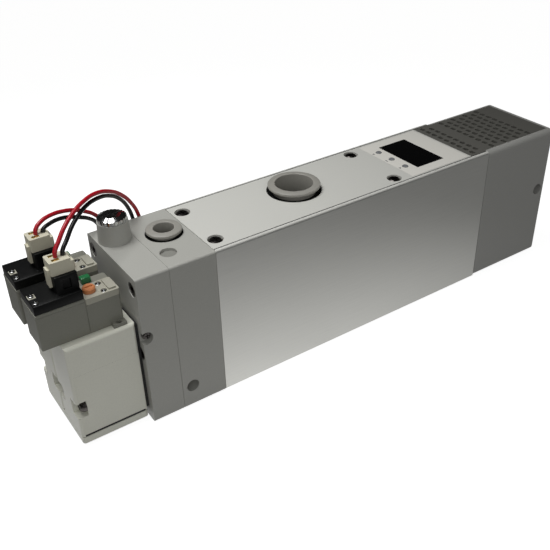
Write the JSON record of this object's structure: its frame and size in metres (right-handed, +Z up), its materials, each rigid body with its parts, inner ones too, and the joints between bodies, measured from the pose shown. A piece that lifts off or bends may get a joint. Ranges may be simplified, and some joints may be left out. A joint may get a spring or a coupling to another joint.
{
  "type": "vacuum ejector",
  "caption": "Multistage vacuum ejector in a long aluminium housing with a silencer end, a valve bank with lead wires, push-in tube ports, a display and a needle adjuster.",
  "frame": {"origin": "centre of the housing's base face, midway along the housing without the valves", "axes": "+X along the housing from the valves to the silencer, +Y to the side away from the viewer where the wires come down, +Z up through the top plate"},
  "size_m": [0.2579, 0.0526, 0.0912],
  "materials": {
    "block_grey": "fine matt grey",
    "anodised": "fine satin, natural anodised",
    "plate_anodised": "matt natural anodised",
    "cover_grey": "matt dark grey",
    "grille_grey": "matt darker grey",
    "foam": "open-pored absorber",
    "black_rubber": "matt",
    "steel": "zinc plated",
    "spring_steel": "bright drawn",
    "film": "satin film",
    "window_black": "glossy",
    "black_plastic": "fine grain",
    "key_grey": "satin",
    "button_grey": "satin",
    "plug_grey": "satin",
    "brass": "turned",
    "chrome": "bright plated",
    "insert_grey": "matt",
    "stage_metal": "turned",
    "filter_white": "fine mesh",
    "valve_white": "off-white paint",
    "pilot_grey": "matt grey",
    "cap_white": "satin off-white",
    "plug_cream": "satin cream",
    "override_orange": "satin orange",
    "wire_red": "insulation, satin",
    "wire_black": "insulation, satin"
  },
  "bodies": {
    "housing": {"adapter_block": "block_grey", "supply_block": "block_grey", "ejector_body": "anodised", "top_plate": "plate_anodised", "silencer_cover": "cover_grey", "silencer_grille": "grille_grey", "silencer_core": "foam", "gaskets": "black_rubber", "plate_screws": "steel", "block_screws": "steel", "adapter_screws": "steel", "end_screws": "steel", "display_film": "film", "display_window": "window_black", "display_module": "black_plastic", "vacuum_sleeve": "black_plastic", "vacuum_chuck": "spring_steel", "supply_sleeve": "black_plastic", "supply_chuck": "spring_steel", "fitting_seals": "black_rubber", "port_plug": "plug_grey", "ejector_insert": "insert_grey", "nozzle": "brass", "diffuser_1": "stage_metal", "diffuser_2": "stage_metal", "diffuser_3": "stage_metal", "check_valves": "black_rubber", "suction_filter": "filter_white", "valve_gasket": "black_rubber", "valve_base": "valve_white", "valve_screws": "steel", "supply_valve_body": "valve_white", "release_valve_body": "valve_white", "supply_spring": "spring_steel", "release_spring": "spring_steel", "supply_pilot_body": "pilot_grey", "release_pilot_body": "pilot_grey", "supply_pilot_cap": "cap_white", "release_pilot_cap": "cap_white", "supply_coil": "black_plastic", "release_coil": "black_plastic", "supply_plug": "plug_cream", "release_plug": "plug_cream", "supply_red_wire": "wire_red", "supply_black_wire": "wire_black", "release_red_wire": "wire_red", "release_black_wire": "wire_black"},
    "key_up_body": {"key_up": "key_grey"},
    "key_set_body": {"key_set": "key_grey"},
    "key_down_body": {"key_down": "key_grey"},
    "vacuum_button": {"vacuum_release_button": "button_grey"},
    "supply_button": {"supply_release_button": "button_grey"},
    "needle_stem": {"needle": "brass", "needle_oring": "black_rubber"},
    "knob": {"needle_knob": "chrome"},
    "supply_slider": {"supply_spool": "stage_metal"},
    "release_slider": {"release_spool": "stage_metal"},
    "supply_manual": {"supply_override": "override_orange"},
    "release_manual": {"release_override": "override_orange"}
  },
  "joints": [
    {"name": "supply_spool_slide", "type": "slide", "parent": "housing", "child": "supply_slider", "axis": [0, 0, -1], "range_m": [0, 0.0025], "stiffness_N_per_m": 1500, "springref_m": -0.002, "deforming": ["supply_spring"]},
    {"name": "release_spool_slide", "type": "slide", "parent": "housing", "child": "release_slider", "axis": [0, 0, -1], "range_m": [0, 0.0025], "stiffness_N_per_m": 1500, "springref_m": -0.002, "deforming": ["release_spring"]},
    {"name": "supply_override_press", "type": "slide", "parent": "housing", "child": "supply_manual", "axis": [0, 0, -1], "range_m": [0, 0.0008], "stiffness_N_per_m": 800, "springref_m": -0.001},
    {"name": "release_override_press", "type": "slide", "parent": "housing", "child": "release_manual", "axis": [0, 0, -1], "range_m": [0, 0.0008], "stiffness_N_per_m": 800, "springref_m": -0.001},
    {"name": "vacuum_release_press", "type": "slide", "parent": "housing", "child": "vacuum_button", "axis": [0, 0, -1], "range_m": [0, 0.0015], "stiffness_N_per_m": 1000, "springref_m": -0.001},
    {"name": "supply_release_press", "type": "slide", "parent": "housing", "child": "supply_button", "axis": [0, 0, -1], "range_m": [0, 0.0012], "stiffness_N_per_m": 1000, "springref_m": -0.001},
    {"name": "key_up_press", "type": "slide", "parent": "housing", "child": "key_up_body", "axis": [0, 0, -1], "range_m": [0, 0.0005], "stiffness_N_per_m": 1000, "springref_m": -0.0005},
    {"name": "key_set_press", "type": "slide", "parent": "housing", "child": "key_set_body", "axis": [0, 0, -1], "range_m": [0, 0.0005], "stiffness_N_per_m": 1000, "springref_m": -0.0005},
    {"name": "key_down_press", "type": "slide", "parent": "housing", "child": "key_down_body", "axis": [0, 0, -1], "range_m": [0, 0.0005], "stiffness_N_per_m": 1000, "springref_m": -0.0005},
    {"name": "needle_lift", "type": "slide", "parent": "housing", "child": "needle_stem", "axis": [0, 0, 1], "range_m": [0, 0.002]},
    {"name": "knob_turn", "type": "hinge", "parent": "needle_stem", "child": "knob", "pos_m": [-0.1046, 0.01005, 0.078], "axis": [0, 0, 1], "range_deg": [0, 1440]}
  ],
  "couplings": [
    {"joint": "knob_turn", "follows": "needle_lift", "rad_per_m": 12566}
  ]
}
